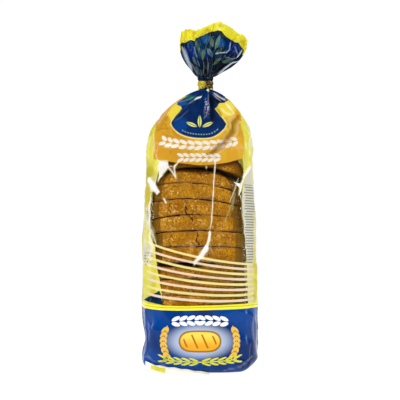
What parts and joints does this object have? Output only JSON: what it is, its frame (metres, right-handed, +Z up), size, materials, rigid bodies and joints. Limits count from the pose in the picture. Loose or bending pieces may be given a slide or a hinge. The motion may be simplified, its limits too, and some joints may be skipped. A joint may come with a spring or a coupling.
{
  "type": "sliced loaf in bread bag",
  "caption": "Sliced wholemeal loaf standing on its end in a printed, partly clear film bag, gathered at the top by a small tie under a fan of loose film.",
  "frame": {"origin": "middle of the flat base that the pack stands on", "axes": "+Z up along the loaf, +X to the right as seen from the front, -Y towards the front, where the loaf's top crust faces"},
  "size_m": [0.102, 0.097, 0.3097],
  "materials": {
    "film": "glossy thin film, printed blue, yellow and orange round a clear window",
    "tie": "yellow plastic tape",
    "crust": "matt golden-brown bread crust",
    "crumb": "matt, open-pored pale brown bread crumb"
  },
  "bodies": {
    "root": {"bag": "film", "tie": "tie"}
  },
  "joints": []
}
